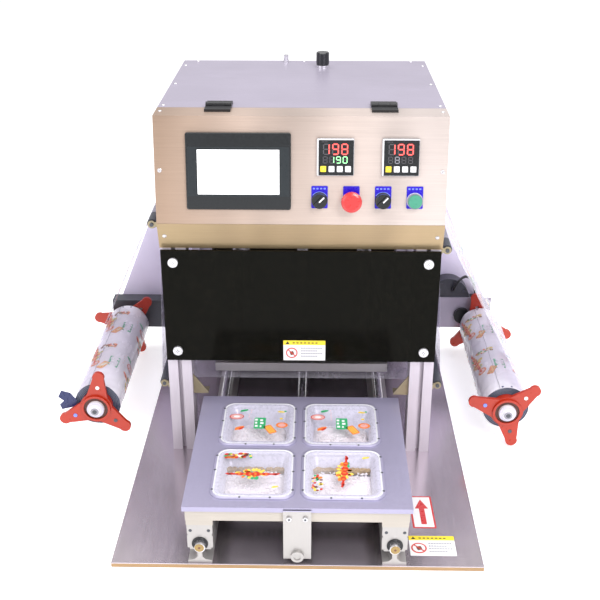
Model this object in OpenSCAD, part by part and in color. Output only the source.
// Semi-automatic tray sealing machine: film runs over rollers between a mould drawer and a hot press.
// X is across the machine, Y goes to the rear, Z is up. The origin is under the centre of the base.

/* [Frame] */
// Width of the base plate
base_w = 700; // [660:10:800]
// Depth of the base plate
base_d = 920; // [900:10:1000]
// Thickness of the base plate
base_t = 10; // [6:1:16]
// Side of a square post
post_w = 50; // [40:1:60]
// Height of the posts
post_h = 483; // [470:1:560]
// Centre of a post across the machine
post_face_x = 282.5; // [275:0.5:305]
// Centre of the front posts along the depth
post_front_y = -55; // [-60:1:-50]
// Centre of the rear posts along the depth
post_rear_y = 416; // [414:1:422]
// Opening of a post slot
slot_w = 8.4; // [6:0.2:10]

/* [Head] */
// Width of the head over its side walls
head_w = 570; // [560:2:640]
// Height of the head from the post tops to its cover
head_h = 267; // [240:1:320]
// Rear face of the head
head_back_y = 443; // [441:1:480]
// Height of the lower front band
band_h = 58; // [40:1:80]
// Lower edge of the band
band_bottom_y = -79; // [-84:1:-76]
// Lower edge of the control panel
panel_bottom_y = -95; // [-105:1:-90]
// Upper edge of the control panel
panel_top_y = -63; // [-80:1:-50]
// Thickness of the sheet metal
sheet_t = 2; // [1.5:0.5:3]
// Centre of a door hinge across the head
hinge_x = 163; // [120:1:200]

/* [Guard] */
// Width of the front guard
guard_w = 564; // [540:2:620]
// Lower edge of the guard above the base plate
guard_bottom = 232; // [220:1:300]
// Thickness of the guard sheet
guard_t = 6; // [4:1:8]
// Length of the spacers behind the guard
guard_gap = 6; // [4:1:12]
// Diameter of the guard screw heads
guard_screw_d = 20; // [16:1:24]

/* [Press] */
// Centre of the press along the depth
press_y = 184; // [182:1:186]
// Width of the heating plate
heater_w = 380; // [360:2:400]
// Depth of the heating plate
heater_d = 384; // [370:2:390]
// Thickness of the heating plate
heater_t = 20; // [14:1:26]
// Stroke of the press
press_stroke = 27; // [20:1:27]
// Diameter of a guide rod
guide_d = 20; // [16:1:25]
// Guide rod position across the press
guide_x = 140; // [120:2:160]
// Guide rod position along the press
guide_y = 120; // [90:2:140]
// Bore of the press cylinder
cyl_bore = 80; // [63:1:90]

/* [Mould drawer] */
// Width of the mould plate
mould_w = 426; // [400:2:440]
// Depth of the mould plate
mould_d = 394; // [380:2:400]
// Thickness of the mould plate
mould_t = 10; // [8:1:14]
// Top of the mould plate above the base plate
mould_top = 122; // [118:1:124]
// Centre of the drawer along the depth when it is pulled out
mould_y = -252; // [-256:1:-250]
// Pitch of the cavities across the mould
pitch_x = 171; // [170:1:180]
// Pitch of the cavities along the mould
pitch_y = 176; // [174:1:180]
// Outer width of a cavity rim
rim_w = 160; // [150:1:166]
// Outer depth of a cavity rim
rim_d = 165; // [150:1:170]
// Width of the visible border of a cavity rim
rim_border = 10; // [8:1:14]
// Depth of a tray
tray_h = 45; // [30:1:50]
// Spacing of the rails from the middle
rail_x = 182; // [176:1:190]
// Height of the rail shaft above the base plate
rail_z = 35; // [30:1:38]
// Diameter of the rail shaft
rail_d = 20; // [16:1:20]

/* [Film] */
// Width of the film
film_w = 402; // [380:2:404]
// Centre of the film along the depth
film_y = 175; // [174:1:176]
// Thickness of the film sheet
film_t = 0.5; // [0.4:0.1:0.8]
// Radius of the film rolls
roll_r = 52; // [46:1:60]
// Axis of the film rolls across the machine
roll_x = 456; // [450:1:480]
// Axis of the film rolls above the base plate
roll_z = 82; // [82:1:100]
// Diameter of the guide rollers
roller_d = 20; // [16:1:20]
// Tip radius of the three-lobed core flanges
lobe_r = 90; // [80:1:90]

/* [Hidden] */
$fn = 48;
eps = 0.01;
// gap between pieces that move past each other
gap = 0.4;
// radial clearance of a running fit
fit = 0.05;
sides = [-1, 1];

// heights below are counted from the top of the base plate
head_top = post_h + head_h;
panel_bottom = post_h + band_h;
panel_rise = head_top - panel_bottom;
panel_run = panel_top_y - panel_bottom_y;
lean = atan(panel_run / panel_rise);
panel_len = sqrt(panel_rise * panel_rise + panel_run * panel_run);
seam_y = 0;
post_face_y = post_front_y - post_w / 2;
post_x = post_face_x - post_w / 2;
guard_back_y = post_face_y - guard_gap;
guard_h = post_h - 1 - guard_bottom;
guard_screw_z = [guard_bottom + 24, post_h - 26];
flange_w = 15;

// control panel layout, counted up the panel from its lower edge
screen_x = -121;
screen_h = 105;
screen_size = [204, 150];
controller_x = [67, 193];
controller_h = 134;
controller_w = 72;
switch_x = [37, 99, 161, 223];
switch_h = 49;
switch_hole_r = 11;

// press
heater_z = 160;
seal_t = 6;
plate_t = 15;
plate_z = heater_z + heater_t + 25;
bridge_t = 12;
cyl_wall = 4;
cyl_cap = 14;
cyl_room = press_stroke + 16;
cyl_body = cyl_room + 2 * cyl_cap;
rod_r = 12.5;
bush_r = guide_d / 2 + 6;

// mould drawer, centred on its own middle, pulled out at rest
travel = press_y - mould_y;
frame_bottom = 89;
leg_bottom = 78;
leg_w = 50;
block_size = [48, 50];
rod_z = 15;
cavity_w = rim_w - 2 * rim_border;
cavity_d = rim_d - 2 * rim_border;
rim_t = 2.5;
cell = [for (i = sides, j = sides) [i * pitch_x / 2, j * pitch_y / 2 - 3]];

// film path: rolls and rollers as [x, z, radius, side that the film passes]
roller_r = roller_d / 2;
upper_left = [-(head_w / 2 + 14), 530];
upper_right = [head_w / 2 + 11, 478];
lower_z = 154 + roller_r;
lower_x = post_face_x + 12;
film_gap = gap + film_t / 2;
roller_y = [-67, 393];
path = [[-roll_x, roll_z, roll_r + film_gap, 1],
        [upper_left[0], upper_left[1], roller_r + film_gap, 1],
        [-lower_x, lower_z, roller_r + film_gap, -1],
        [lower_x, lower_z, roller_r + film_gap, -1],
        [upper_right[0], upper_right[1], roller_r + film_gap, 1],
        [roll_x, roll_z, roll_r + film_gap, 1]];
flange_front_y = -44;
flange_t = 8;
back_y = film_y + film_w / 2 + 2 + flange_t;
clutch_pos = [412, 101];
motor_pos = [374, 147];
motor_r = 54;
gearbox_r = 30;
regulator_pos = [43, 371];
fitting_pos = [-43, 430];
collar_r = 15;
wall_y = post_rear_y + post_w / 2;
bracket_y = 403;

module on_base() translate([0, 0, base_t]) children();

module box(x, y, z) translate([x[0], y[0], z[0]]) cube([x[1] - x[0], y[1] - y[0], z[1] - z[0]]);

// cylinder along the depth, from y to y + len
module rod_y(x, z, r, y, len) translate([x, y, z]) rotate([-90, 0, 0]) cylinder(r = r, h = len);

// plate with round corners, standing on z = 0
module round_plate(w, d, r, h) linear_extrude(h) {
    square([w - 2 * r, d], center = true);
    square([w, d - 2 * r], center = true);
    for (i = sides, j = sides) translate([i * (w / 2 - r), j * (d / 2 - r)]) circle(r);
}

// frame of the leaning panel: x across, y up the panel, z out of its face
module on_panel(x, h) on_base() translate([0, panel_bottom_y, panel_bottom]) rotate([90 - lean, 0, 0])
    translate([x, h, 0]) children();

// outline in the plane of depth and height, extruded across the machine
module across(x, w) translate([x, 0, 0]) rotate([90, 0, 90]) linear_extrude(w) children();

// outline in the plane of width and height, extruded along the depth
module along(y, len) translate([0, y + len, 0]) rotate([90, 0, 0]) linear_extrude(len) children();

module domed_screw(r, h) {
    cylinder(r = r, h = h * 0.5);
    translate([0, 0, h * 0.5]) cylinder(r1 = r, r2 = r * 0.6, h = h * 0.5);
}

// ---------------------------------------------------------------- frame

module base_plate() color("gainsboro") translate([0, 0, base_t / 2])
    cube([base_w, base_d, base_t], center = true);

module slot_cut() {
    translate([0, post_w / 2 - 5]) square([slot_w, 12], center = true);
    translate([0, post_w / 2 - 8.5]) square([2 * slot_w, 7], center = true);
}

module post_profile() difference() {
    square(post_w, center = true);
    for (a = [0 : 90 : 270]) rotate(a) slot_cut();
    circle(4);
}

module posts() color("silver") on_base() for (x = sides, y = [post_front_y, post_rear_y])
    translate([x * post_x, y, 0]) linear_extrude(post_h) post_profile();

// angle bracket in a corner, legs along +Y and +Z
module angle_bracket(w, leg, t) {
    box([-w / 2, w / 2], [0, leg], [0, t]);
    box([-w / 2, w / 2], [0, t], [t, leg]);
    for (s = sides) translate([s * (w / 2 - 2) - 2, 0, 0]) rotate([90, 0, 90])
        linear_extrude(4) polygon([[t, t], [leg, t], [t, leg]]);
}

module post_brackets() color("silver") on_base() for (x = sides) {
    translate([x * post_x, post_front_y + post_w / 2, 0]) angle_bracket(40, 40, 4);
    translate([x * post_x, post_rear_y - post_w / 2, 0]) mirror([0, 1, 0]) angle_bracket(40, 40, 4);
}

wing_bottom = 66;
wing_top = post_h - 1;
wing_t = 2;
wing_edge = [[-1, [489, 404, 340]], [1, [484, 388, 320]]];

// upright plates on the rear posts that carry the film roll brackets
module wing_plates() color("lavender") on_base() for (w = wing_edge) along(wall_y, wing_t)
    polygon([[w[0] * (post_face_x - 40), wing_bottom], [w[0] * w[1][0], wing_bottom],
             [w[0] * w[1][0], 112], [w[0] * w[1][1], 320], [w[0] * w[1][2], wing_top],
             [w[0] * (post_face_x - 40), wing_top]]);

// ---------------------------------------------------------------- head

case_front = [[band_bottom_y + sheet_t, post_h], [panel_bottom_y + sheet_t, panel_bottom],
              [panel_top_y + sheet_t, head_top - sheet_t]];
case_back_y = head_back_y - sheet_t;

// side walls with folded flanges at the front, top and rear
module case_side() {
    across(head_w / 2 - sheet_t, sheet_t) polygon(concat(case_front,
        [[case_back_y, head_top - sheet_t], [case_back_y, post_h]]));
    across(head_w / 2 - flange_w, flange_w - sheet_t + eps) difference() {
        polygon(concat(case_front, [[case_back_y, head_top - sheet_t], [case_back_y, post_h + bridge_t]],
            [[band_bottom_y + sheet_t - 2, post_h + bridge_t]]));
        polygon(concat([for (p = case_front) [p[0] + sheet_t, p[1] - sheet_t]],
            [[case_back_y - sheet_t, head_top - 2 * sheet_t], [case_back_y - sheet_t, 0], [0, 0]]));
    }
}

module head_case() color("lightgray") on_base() {
    case_side();
    mirror([1, 0, 0]) case_side();
}

module top_cover() color("lavender") on_base() difference() {
    box([-head_w / 2, head_w / 2], [seam_y + gap, head_back_y], [head_top - sheet_t, head_top]);
    translate([regulator_pos[0], regulator_pos[1], 0]) cylinder(r = collar_r - 4, h = head_top + 1);
    translate([fitting_pos[0], fitting_pos[1], 0]) cylinder(r = 4, h = head_top + 1);
}

module rear_cover() color("lightgray") on_base()
    box([-head_w / 2, head_w / 2], [case_back_y, head_back_y], [post_h, head_top - sheet_t]);

module lower_band() color("tan") on_base() across(-head_w / 2, head_w) polygon([
    [panel_bottom_y, panel_bottom - gap], [band_bottom_y, post_h],
    [band_bottom_y + sheet_t, post_h], [panel_bottom_y + sheet_t, panel_bottom - gap]]);

screw_x = head_w / 2 - 10;
band_lean = atan((band_bottom_y - panel_bottom_y) / (band_h - gap));

module case_screws() color("silver") on_base() {
    for (x = sides) {
        for (y = [15, 200, 385]) translate([x * screw_x, y, head_top]) domed_screw(4, 2);
        translate([x * (screw_x - 24), head_back_y - 12, head_top]) domed_screw(4, 2);
        translate([x * (screw_x - 3), (band_bottom_y + panel_bottom_y) / 2, post_h + (band_h - gap) / 2])
            rotate([90 + band_lean, 0, 0]) domed_screw(4, 2);
        for (z = [post_h + 30, head_top - 40]) translate([x * screw_x, head_back_y, z])
            rotate([-90, 0, 0]) domed_screw(4, 2);
    }
    translate([0, head_back_y - 8, head_top]) domed_screw(4, 2);
}

// the rear sheet closes the gap between the rear posts above the drawer's cylinder
rear_guard_x = post_x - post_w / 2 + 9;
rear_guard_z = [45, post_h - 1];

module guards() color([0.12, 0.11, 0.1, 0.85]) on_base() {
    difference() {
        box([-guard_w / 2, guard_w / 2], [guard_back_y - guard_t, guard_back_y],
            [guard_bottom, guard_bottom + guard_h]);
        for (x = sides, z = guard_screw_z)
            rod_y(x * post_x, z, 4.2, guard_back_y - guard_t - 1, guard_t + 2);
    }
    box([-rear_guard_x, rear_guard_x], [wall_y, wall_y + guard_t - 2], rear_guard_z);
}

module guard_screws() color("silver") on_base() for (x = sides, z = guard_screw_z) {
    rod_y(x * (rear_guard_x - 5), z - 40, 3.5, wall_y + guard_t - 2, 2);
    rod_y(x * post_x, z, 4, guard_back_y - guard_t - eps, guard_t + 2 * eps);
    rod_y(x * post_x, z, guard_screw_d / 2 - 1, guard_back_y, guard_gap);
    difference() {
        rod_y(x * post_x, z, guard_screw_d / 2, guard_back_y - guard_t - 5, 5);
        translate([x * post_x, guard_back_y - guard_t - 5, z]) rotate([0, 35, 0])
            cube([guard_screw_d * 0.7, 3, 2.2], center = true);
    }
}

// ---------------------------------------------------------------- press

module press_bridge() color("silver") on_base() difference() {
    box([-head_w / 2 + sheet_t, head_w / 2 - sheet_t], [band_bottom_y + 6, case_back_y],
        [post_h, post_h + bridge_t]);
    translate([0, press_y, 0]) {
        cylinder(r = 20, h = head_top);
        for (x = sides, y = sides) translate([x * guide_x, y * guide_y, 0]) cylinder(r = bush_r, h = head_top);
    }
}

cyl_top = post_h - eps;
cyl_bottom = cyl_top - cyl_body;

module air_cylinder() color("dimgray") on_base() translate([0, press_y, cyl_bottom]) difference() {
    union() {
        for (z = [0, cyl_body - cyl_cap]) translate([0, 0, z + cyl_cap / 2])
            cube([cyl_bore + 16, cyl_bore + 16, cyl_cap], center = true);
        cylinder(r = cyl_bore / 2 + cyl_wall, h = cyl_body);
        for (x = sides, y = sides) translate([x * (cyl_bore / 2), y * (cyl_bore / 2), 0])
            cylinder(r = 4, h = cyl_body);
    }
    translate([0, 0, cyl_cap]) cylinder(r = cyl_bore / 2, h = cyl_room);
    translate([0, 0, -1]) cylinder(r = rod_r + fit, h = cyl_cap + 2);
}

module guide_bushes() color("silver") on_base() for (x = sides, y = sides)
    translate([x * guide_x, press_y + y * guide_y, post_h - 30]) difference() {
        union() {
            cylinder(r = bush_r, h = 30 + bridge_t + 10);
            translate([0, 0, 30 - 8]) cylinder(r = bush_r + 9, h = 8);
        }
        translate([0, 0, -1]) cylinder(r = guide_d / 2 + fit, h = 80);
    }

module press_frame() color("silver") on_base() translate([0, press_y, 0]) {
    translate([0, 0, plate_z + plate_t / 2]) cube([heater_w - 20, heater_d - 40, plate_t], center = true);
    for (x = sides, y = sides) {
        translate([x * guide_x, y * guide_y, plate_z + plate_t])
            cylinder(r = guide_d / 2, h = post_h + bridge_t + 20 - plate_z - plate_t);
        translate([x * (guide_x + 25), y * (guide_y + 25), heater_z + heater_t]) cylinder(r = 9, h = 25);
    }
    translate([0, 0, plate_z + plate_t]) cylinder(r = rod_r, h = cyl_bottom + cyl_cap + 6 + press_stroke - plate_z - plate_t);
    translate([0, 0, cyl_bottom + cyl_cap + 2 + press_stroke]) cylinder(r = cyl_bore / 2 - fit, h = 12);
}

module heating_plate() color("whitesmoke") on_base()
    translate([0, press_y, heater_z + heater_t / 2]) cube([heater_w, heater_d, heater_t], center = true);

module seal_heads() color("gray") on_base() for (c = cell)
    translate([c[0], press_y + c[1], heater_z - seal_t]) round_plate(cavity_w + 6, cavity_d + 6, 24, seal_t);

// ---------------------------------------------------------------- mould drawer

rail_len = [-base_d / 2 + 4, base_d / 2 - 70];

module rail_supports() color("silver") on_base() for (x = sides) translate([x * rail_x, 0, 0])
    along(rail_len[0], rail_len[1] - rail_len[0]) polygon([[-22.5, 0], [22.5, 0], [22.5, 5], [10, 8],
        [4.5, 14], [4.5, rail_z - rail_d / 2 + 1], [-4.5, rail_z - rail_d / 2 + 1], [-4.5, 14],
        [-10, 8], [-22.5, 5]]);

module rail_shafts() color("gainsboro") on_base() difference() {
    for (x = sides) rod_y(x * rail_x, rail_z, rail_d / 2, rail_len[0] - 2, rail_len[1] - rail_len[0] + 4);
    rail_supports_cut();
}

module rail_supports_cut() for (x = sides)
    box([x * rail_x - 4.6, x * rail_x + 4.6], [-base_d, base_d], [0, rail_z - rail_d / 2 + 1]);

// everything of the drawer is built round its own middle and set at its pulled-out place
module at_drawer() on_base() translate([0, mould_y, 0]) children();

module block_section() difference() {
    union() {
        translate([-block_size[0] / 2, rail_z - 9]) square([block_size[0], leg_bottom - rail_z + 9]);
        translate([-block_size[0] / 2 + 4, rail_z - 13]) square([block_size[0] - 8, 8]);
    }
    translate([0, rail_z]) circle(rail_d / 2 + fit);
    translate([-6, 0]) square([12, rail_z]);
    for (i = sides) translate([i * block_size[0] / 2, leg_bottom - 22]) square([3, 4], center = true);
}

module bearing_blocks() color("darkgray") at_drawer() for (x = sides, y = sides)
    translate([x * rail_x, 0, 0])
        along(y * (mould_d / 2 - block_size[1] / 2 - 4) - block_size[1] / 2, block_size[1]) block_section();

module mould_frame() color("oldlace") at_drawer() difference() {
    union() {
        translate([0, 0, (frame_bottom + mould_top - mould_t) / 2])
            cube([mould_w - 10, mould_d - 8, mould_top - mould_t - frame_bottom], center = true);
        for (x = sides) translate([x * rail_x, 0, (leg_bottom + frame_bottom) / 2])
            cube([leg_w, mould_d - 8, frame_bottom - leg_bottom], center = true);
    }
    for (c = cell) translate([c[0], c[1], 0]) round_plate(cavity_w + 4, cavity_d + 4, 22, head_top);
}

module mould_plate() color("lavender") at_drawer() difference() {
    translate([0, 0, mould_top - mould_t / 2]) cube([mould_w, mould_d, mould_t], center = true);
    for (c = cell) translate([c[0], c[1], 0]) round_plate(cavity_w, cavity_d, 20, head_top);
}

module cavity_rims() color("silver") at_drawer() for (c = cell)
    translate([c[0], c[1], mould_top]) difference() {
        round_plate(rim_w, rim_d, 26, rim_t);
        translate([0, 0, -1]) round_plate(cavity_w - 0.6, cavity_d - 0.6, 19.7, rim_t + 2);
    }

tray_top = mould_top + rim_t;
tray_lip = 1.2;

// shallow tray with a flat lip, tapering to its bottom
module tray_body(inset, depth) hull() {
    translate([0, 0, -0.1]) round_plate(cavity_w - 3 - 2 * inset, cavity_d - 3 - 2 * inset, 18 - inset, 0.1, $fn = 24);
    translate([0, 0, -depth]) round_plate(cavity_w - 22 - 2 * inset, cavity_d - 22 - 2 * inset, 14 - inset, 0.1, $fn = 24);
}

module trays() color("white") at_drawer() for (c = cell) translate([c[0], c[1], tray_top]) difference() {
    union() {
        round_plate(cavity_w + 4, cavity_d + 4, 21, tray_lip);
        tray_body(0, tray_h);
    }
    tray_body(1.2, tray_h - 1.2);
    translate([0, 0, -0.2]) round_plate(cavity_w - 5.4, cavity_d - 5.4, 16.8, tray_lip + 1);
}

module tray_fillings() color("ivory") at_drawer() for (c = cell) translate([c[0], c[1], tray_top - 4])
    tray_body(3, tray_h - 8);

// centre bracket at the drawer's front with the rod of the drive cylinder
module drawer_rod() color("silver") on_base() translate([0, mould_y - mould_d / 2, 0]) {
    box([-26, 26], [-2, 4], [7, mould_top - mould_t]);
    box([-26, 26], [-2, 0], [7, mould_top - 4]);
    rod_y(0, rod_z, 5, -6, travel + 20);
    rod_y(0, rod_z, 9.9, travel + 14, 8);
    difference() {
        rod_y(0, rod_z, 12, -8, 6);
        rod_y(0, rod_z, 7, -9, 3);
    }
    for (x = sides) rod_y(x * 15, mould_top - 22, 5, -4.5, 2.5);
}

drive_front_y = mould_y - mould_d / 2 + travel + 5;

module drawer_cylinder() color("silver") on_base() difference() {
    union() {
        rod_y(0, rod_z, 11.5, drive_front_y, base_d / 2 - drive_front_y - 1);
        for (y = [drive_front_y, base_d / 2 - 11]) box([-20, 20], [y, y + 10], [0, rod_z + 10]);
    }
    rod_y(0, rod_z, 10, drive_front_y + 8, base_d / 2 - drive_front_y - 19);
    rod_y(0, rod_z, 5 + fit, drive_front_y - 1, 12);
}

// ---------------------------------------------------------------- film

// direction of the straight run from circle a to circle b
function run_angle(a, b) = atan2(b[1] - a[1], b[0] - a[0])
    - asin((a[3] * a[2] - b[3] * b[2]) / norm([b[0] - a[0], b[1] - a[1]]));
// point where a run of direction t touches circle c, pushed out by o
function touch(c, t, o) = [c[0] - c[3] * c[2] * sin(t) - o * sin(t), c[1] + c[3] * c[2] * cos(t) + o * cos(t)];
// the film from circle i to circle j, as points on one of its faces
arc_steps = 8;
function film_face(i, j, o) = [for (k = [i : j]) let (
        t0 = run_angle(path[max(k - 1, i)], path[max(k, i + 1)]),
        t1 = run_angle(path[min(k, j - 1)], path[min(k + 1, j)]))
    for (n = [0 : (k == i || k == j) ? 0 : arc_steps]) touch(path[k], t0 + (t1 - t0) * n / arc_steps, o)];
function backwards(v) = [for (i = [len(v) - 1 : -1 : 0]) v[i]];

module film_sheet(points) along(film_y - film_w / 2, film_w) polygon(points);

function film_strip(i, j) = concat(film_face(i, j, film_t / 2), backwards(film_face(i, j, -film_t / 2)));

// the two upright runs end where they turn under the lower rollers
span_x = lower_x - roller_r - 6;

module film_webs() color([0.92, 0.9, 0.96, 0.5]) on_base() {
    difference() {
        film_sheet(film_strip(0, 3));
        box([-span_x, base_w], [-base_d, base_d], [0, head_top]);
    }
    difference() {
        film_sheet(film_strip(2, 5));
        box([-base_w, span_x], [-base_d, base_d], [0, head_top]);
    }
}

module film_span() color([0.92, 0.9, 0.96, 0.5]) on_base()
    box([-span_x, span_x], [film_y - film_w / 2, film_y + film_w / 2],
        [lower_z - roller_r - film_gap - film_t / 2, lower_z - roller_r - film_gap + film_t / 2]);

module lobed_flange(a, y) translate([0, y + flange_t, 0]) rotate([90, 0, 0]) rotate(a) difference() {
    union() {
        linear_extrude(flange_t) {
            circle(36);
            for (k = [0, 120, 240]) rotate(k) {
                polygon([[0, -30], [lobe_r - 13, -11.5], [lobe_r - 13, 11.5], [0, 30]]);
                translate([lobe_r - 13, 0]) circle(13);
            }
        }
        cylinder(r = 32, h = flange_t + 5);
    }
    translate([0, 0, flange_t + 1]) cylinder(r = 27, h = 20);
    translate([0, 0, -1]) cylinder(r = 19, h = 40);
    for (k = [0, 120, 240]) rotate(k) translate([lobe_r - 38, 0, -1]) cylinder(r = 4.5, h = flange_t + 2);
}

module on_roll(side) on_base() translate([side * roll_x, 0, roll_z]) children();

module core_flanges(a_front, a_back) {
    lobed_flange(a_front, flange_front_y);
    translate([0, flange_front_y + back_y, 0]) mirror([0, 1, 0]) lobed_flange(a_back, flange_front_y);
}

// how far the sleeve and the shaft in it stand out of the front flange
sleeve_out = 9;
shaft_out = 17;

module spindle() {
    rod_y(0, 0, 10, flange_front_y - shaft_out, bracket_y + 20 - flange_front_y + shaft_out);
    difference() {
        rod_y(0, 0, 18.9, flange_front_y - sleeve_out, sleeve_out + back_y - flange_front_y);
        rod_y(0, 0, 10, flange_front_y - sleeve_out - 1, back_y + 60);
    }
}

module film_roll() difference() {
    rod_y(0, 0, roll_r, film_y - film_w / 2, film_w);
    rod_y(0, 0, 34, film_y - film_w, 2 * film_w);
}

module core_plugs() for (y = [flange_front_y + flange_t, back_y - flange_t - 14]) difference() {
    rod_y(0, 0, 34, y, 14);
    rod_y(0, 0, 20, y - 1, 16);
}

module feed_spindle() color("whitesmoke") on_roll(-1) spindle();
module feed_flanges() color("orangered") on_roll(-1) {
    core_flanges(82, 50);
    core_plugs();
}
module feed_roll() color("lavender") on_roll(-1) film_roll();
module takeup_spindle() color("whitesmoke") on_roll(1) spindle();
module takeup_flanges() color("orangered") on_roll(1) {
    core_flanges(42, 100);
    core_plugs();
}
module takeup_roll() color("lavender") on_roll(1) film_roll();

module guide_roller(c) color("dimgray") on_base() {
    rod_y(c[0], c[1], roller_r, roller_y[0], roller_y[1] - roller_y[0]);
    rod_y(c[0], c[1], stub_r, roller_y[0] - 8, roller_y[1] - roller_y[0] + 16);
}
module roller_upper_left() guide_roller(path[1]);
module roller_upper_right() guide_roller(path[4]);
module roller_lower_left() guide_roller(path[2]);
module roller_lower_right() guide_roller(path[3]);

ear_t = 3;
ear_half = 5;
ear_r = 8;
stub_r = 4;
// length of a foot along its wall, at the front and at the rear
foot_len = [9, 24];
gusset_w = 32;
gusset_z = [137, 184];

// zinc plate that holds a roller stub: an ear across the wall and a foot along it
module roller_ear(c, wall, y, foot_y) {
    side = sign(c[0]);
    foot = wall + ear_t - 0.5;
    difference() {
        union() {
            rod_y(c[0], c[1], ear_r, y - ear_t / 2, ear_t);
            box([min(c[0], side * wall), max(c[0], side * wall)], [y - ear_t / 2, y + ear_t / 2],
                [c[1] - ear_half, c[1] + ear_half]);
        }
        rod_y(c[0], c[1], stub_r + fit, y - ear_r, 2 * ear_r);
    }
    box([min(side * wall, side * foot), max(side * wall, side * foot)],
        [min(y, foot_y), max(y, foot_y)], [c[1] - ear_half, c[1] + ear_half]);
}

module roller_brackets() color("darkkhaki") on_base() {
    front = roller_y[0] - 4;
    rear = roller_y[1] + 4;
    for (y = [[front, front - foot_len[0]], [rear, rear + foot_len[1]]]) {
        roller_ear(path[1], head_w / 2, y[0], y[1]);
        for (k = [2, 3, 4]) roller_ear(path[k], post_face_x, y[0], y[1]);
    }
    inner = post_x - post_w / 2;
    for (x = sides) {
        along(post_front_y - 12, ear_t) polygon([[x * inner, gusset_z[0] + ear_t],
            [x * inner, gusset_z[1]], [x * (inner - gusset_w), gusset_z[0] + ear_t]]);
        box([min(x * (inner - gusset_w), x * inner), max(x * (inner - gusset_w), x * inner)],
            [post_front_y - 12, post_front_y + 12], [gusset_z[0], gusset_z[0] + ear_t]);
    }
}

module bracket_hole() rod_y(0, 0, 10 + fit, 0, 800);

// bearing plate from the post and the wing plate out to the spindle
module feed_bracket() color("dimgray") on_base() difference() {
    box([-roll_x - 44, -post_face_x], [bracket_y, wall_y], [58, 135]);
    translate([-roll_x, 0, roll_z]) bracket_hole();
    box([-roll_x - 60, -post_face_x - 3], [bracket_y + 8, wall_y + 1], [0, 127]);
}

module motor_bracket() color("lavender") on_base() difference() {
    union() {
        box([post_face_x, roll_x + 30], [bracket_y, bracket_y + 3], [64, 150]);
        box([post_face_x, post_face_x + 3], [bracket_y, wall_y], [64, 150]);
    }
    translate([roll_x, 0, roll_z]) bracket_hole();
    rod_y(clutch_pos[0], clutch_pos[1], 6 + fit, 0, 800);
}

// flat gearbox between the bracket and the wing plate, its round motor end inboard
module gear_motor() color("dimgray") on_base() {
    difference() {
        union() {
            rod_y(motor_pos[0], motor_pos[1], motor_r, bracket_y + 3, wall_y - bracket_y - 3);
            rod_y(roll_x, roll_z, gearbox_r, bracket_y + 3, wall_y - bracket_y - 3);
            along(bracket_y + 5, wall_y - bracket_y - 7) polygon([[motor_pos[0] - 20, motor_pos[1] - 40],
                [roll_x - 20, roll_z - 18], [roll_x + 8, roll_z + 24], [motor_pos[0] + 35, motor_pos[1] + 30]]);
        }
        rod_y(roll_x, roll_z, 10 + fit, 0, bracket_y + 22);
        rod_y(clutch_pos[0], clutch_pos[1], 6.5, 0, bracket_y + 14);
    }
    for (a = [25 : 45 : 160]) rod_y(motor_pos[0] + 44 * cos(a), motor_pos[1] + 44 * sin(a), 4, bracket_y, 3);
    box([436, 466], [wall_y - 20, wall_y], [118, 144]);
}

module clutch_knob() color("black") on_base() {
    rod_y(clutch_pos[0], clutch_pos[1], 21, bracket_y - gap - 10, 10);
    rod_y(clutch_pos[0], clutch_pos[1], 6, bracket_y - gap - eps, 14);
}

// ---------------------------------------------------------------- motor cable

cable_d = 7;
cable_route = [[384, 404, 172], [384, 397, 173], [385, 391, 178], [387, 388, 186], [391, 387, 195],
    [397, 389, 204], [405, 393, 210], [414, 398, 212], [423, 404, 208], [430, 410, 200], [436, 415, 189],
    [441, 420, 177], [445, 425, 165], [448, 429, 154], [450, 431, 145]];
cable_sides = 8;
function unit(v) = v / norm(v);
function cable_dir(i) = unit(cable_route[min(i + 1, len(cable_route) - 1)] - cable_route[max(i - 1, 0)]);
function cable_ring(i) = let (t = cable_dir(i), a = unit(cross(t, [0.3, 0.5, -0.8])), b = cross(t, a))
    [for (k = [0 : cable_sides - 1]) cable_route[i]
        + cable_d / 2 * (cos(360 * k / cable_sides) * a + sin(360 * k / cable_sides) * b)];

module motor_cable() color("black") on_base() {
    rings = len(cable_route);
    polyhedron(
        points = [for (i = [0 : rings - 1]) each cable_ring(i)],
        faces = concat(
            [[for (k = [0 : cable_sides - 1]) k]],
            [for (i = [0 : rings - 2], k = [0 : cable_sides - 1]) let (n = (k + 1) % cable_sides, o = i * cable_sides)
                [o + k, o + cable_sides + k, o + cable_sides + n, o + n]],
            [[for (k = [cable_sides - 1 : -1 : 0]) (rings - 1) * cable_sides + k]]));
}

// ---------------------------------------------------------------- control door

hinge_r = 5.7;
hinge_z = head_top + hinge_r + 0.3;
hinge_w = 51;
leaf_len = 34;
leaf_t = 5;
pin_r = 2;

module panel_hole(x, h, w, d) on_panel(x, h) cube([w, d, 40], center = true);

module control_panel() color("rosybrown") difference() {
    on_base() across(-head_w / 2, head_w) polygon([
        [panel_bottom_y, panel_bottom], [panel_top_y, head_top], [seam_y - gap, head_top],
        [seam_y - gap, head_top - sheet_t], [panel_top_y + sheet_t, head_top - sheet_t],
        [panel_bottom_y + sheet_t, panel_bottom]]);
    panel_hole(screen_x, screen_h, screen_size[0] - 12, screen_size[1] - 14);
    for (x = controller_x) panel_hole(x, controller_h, controller_w - 4, controller_w - 4);
    for (x = switch_x) on_panel(x, switch_h) translate([0, 0, -20]) cylinder(r = switch_hole_r, h = 40);
}

module touch_screen() color("black") on_panel(screen_x, screen_h) {
    round_plate(screen_size[0], screen_size[1], 4, 5);
    translate([0, 0, -17.99]) cube([screen_size[0] - 14, screen_size[1] - 16, 36], center = true);
}

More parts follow.
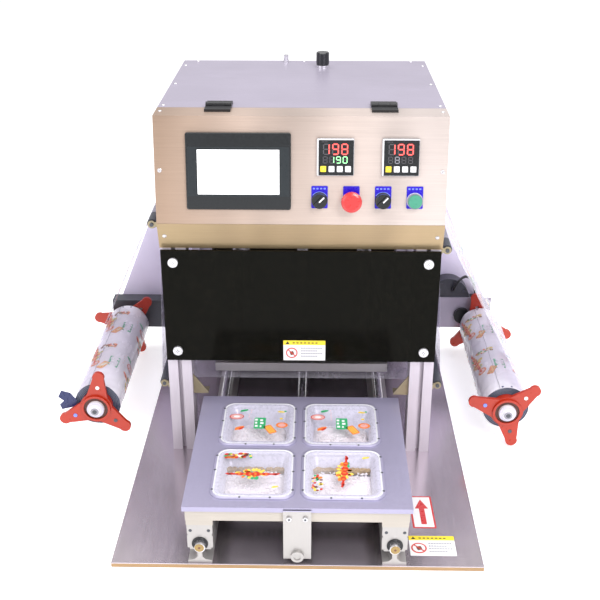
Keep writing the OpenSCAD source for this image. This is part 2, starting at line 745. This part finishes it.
module temp_controllers() color("black") for (x = controller_x) on_panel(x, controller_h) {
    round_plate(controller_w, controller_w, 2, 6);
    translate([0, 0, -29.99]) cube([controller_w - 6, controller_w - 6, 60], center = true);
}

module legend_plates() color("blue") for (x = switch_x) on_panel(x, switch_h) difference() {
    translate([0, 6, 0]) round_plate(32, 44, 2, 1.5);
    translate([0, 0, -1]) cylinder(r = switch_hole_r, h = 4);
}

// ring nut in front, barrel through the panel and contact block behind it
module switch_blocks() color("dimgray") for (x = switch_x) on_panel(x, switch_h) difference() {
    union() {
        translate([0, 0, 1.5]) cylinder(r = 14.5, h = 4);
        translate([0, 0, -12]) cylinder(r = switch_hole_r - 0.1, h = 14);
        translate([0, 0, -34]) cube([28, 40, 44], center = true);
    }
    translate([0, 0, -10]) cylinder(r = 8, h = 20);
}

module at_hinge(x) on_base() translate([x, seam_y, hinge_z]) children();

// leaf along the depth: way -1 lies on the door, way 1 on the cover
module hinge_leaf(way, spans) {
    for (s = spans) difference() {
        union() {
            rotate([0, 90, 0]) translate([0, 0, s[0]]) cylinder(r = hinge_r, h = s[1] - s[0]);
            box([s[0], s[1]], [min(0, way * (hinge_r + 2)), max(0, way * (hinge_r + 2))],
                [-hinge_r + 0.3, -hinge_r + 0.3 + leaf_t]);
        }
        rotate([0, 90, 0]) translate([0, 0, -60]) cylinder(r = pin_r + fit, h = 120);
    }
    box([-hinge_w / 2, hinge_w / 2], [min(way * (hinge_r + 1.5), way * leaf_len),
        max(way * (hinge_r + 1.5), way * leaf_len)], [-hinge_r - 0.3, -hinge_r - 0.3 + leaf_t]);
}

module door_hinges() color("black") for (x = sides) at_hinge(x * hinge_x) hinge_leaf(-1, [[-12, 12]]);

module hinge_leaves() color("black") for (x = sides) at_hinge(x * hinge_x) {
    hinge_leaf(1, [[-hinge_w / 2, -12.4], [12.4, hinge_w / 2]]);
    rotate([0, 90, 0]) translate([0, 0, -hinge_w / 2]) cylinder(r = pin_r, h = hinge_w);
}

module door_screws() color("silver") for (x = sides) {
    on_base() translate([x * screw_x, (panel_top_y + seam_y) / 2, head_top]) domed_screw(4, 2);
    on_panel(x * screw_x, panel_len / 2) domed_screw(4, 2);
}

module selector(x) color("black") on_panel(x, switch_h) {
    translate([0, 0, -8]) cylinder(r = 8 - fit, h = 16);
    translate([0, 0, 6]) cylinder(r = 14, h = 10);
    rotate(-45) translate([0, 0, 18]) cube([7, 27, 6], center = true);
}
module selector_left() selector(switch_x[0]);
module selector_right() selector(switch_x[2]);

module estop_button() color("crimson") on_panel(switch_x[1], switch_h) {
    translate([0, 0, -4]) cylinder(r = 8 - fit, h = 18);
    translate([0, 0, 12]) cylinder(r1 = 12, r2 = 20, h = 6);
    translate([0, 0, 18]) cylinder(r = 20, h = 6);
    translate([0, 0, 24]) cylinder(r1 = 20, r2 = 15, h = 3);
}

module start_button() color("seagreen") on_panel(switch_x[3], switch_h) {
    translate([0, 0, -4]) cylinder(r = 8 - fit, h = 14);
    translate([0, 0, 9]) cylinder(r = 13.5, h = 5);
}

// ---------------------------------------------------------------- inside and on top of the head

// the units stand between the guide bushes and the side walls
unit_x = [180, 262];

module air_units() color("silver") on_base() {
    translate([regulator_pos[0], regulator_pos[1], 0]) difference() {
        union() {
            translate([0, 0, head_top - 74]) cube([46, 46, 70], center = true);
            translate([0, 0, head_top - 40]) cylinder(r = collar_r - 4.2, h = 42);
            translate([0, 0, head_top]) cylinder(r = collar_r, h = 6);
        }
        translate([0, 0, head_top - 20]) cylinder(r = 6 + fit, h = 40);
    }
    translate([fitting_pos[0], fitting_pos[1], head_top]) cylinder(r = 6, h = 16);
    translate([fitting_pos[0], fitting_pos[1], head_top - 14]) cylinder(r = 3.8, h = 15);
    box([-unit_x[1], -unit_x[0]], [310, 370], [post_h + bridge_t, post_h + bridge_t + 62]);
}

module regulator_knob() color("black") on_base() translate([regulator_pos[0], regulator_pos[1], head_top]) {
    translate([0, 0, -10]) cylinder(r = 6, h = 24);
    translate([0, 0, 6 + gap]) cylinder(r = 14, h = 3);
    translate([0, 0, 9]) cylinder(r = 15, h = 24);
    translate([0, 0, 33]) cylinder(r1 = 15, r2 = 13, h = 2);
}

module control_units() color("dimgray") on_base() translate([0, 0, post_h + bridge_t]) {
    box([-unit_x[1], -unit_x[0]], [200, 290], [0, 70]);
    box([-unit_x[1], -unit_x[0]], [70, 150], [0, 50]);
    box(unit_x, [80, 180], [0, 90]);
    box(unit_x, [240, 340], [0, 60]);
}

base_plate();
posts();
post_brackets();
wing_plates();
head_case();
top_cover();
rear_cover();
lower_band();
case_screws();
guards();
guard_screws();
press_bridge();
air_cylinder();
guide_bushes();
air_units();
control_units();
rail_supports();
rail_shafts();
roller_brackets();
feed_bracket();
motor_bracket();
gear_motor();
motor_cable();
door_screws();
hinge_leaves();
film_webs();
film_span();
drawer_cylinder();
control_panel();
touch_screen();
temp_controllers();
legend_plates();
switch_blocks();
door_hinges();
selector_left();
selector_right();
estop_button();
start_button();
regulator_knob();
clutch_knob();
press_frame();
heating_plate();
seal_heads();
mould_frame();
mould_plate();
cavity_rims();
bearing_blocks();
drawer_rod();
trays();
tray_fillings();
feed_spindle();
feed_flanges();
feed_roll();
takeup_spindle();
takeup_flanges();
takeup_roll();
roller_upper_left();
roller_upper_right();
roller_lower_left();
roller_lower_right();
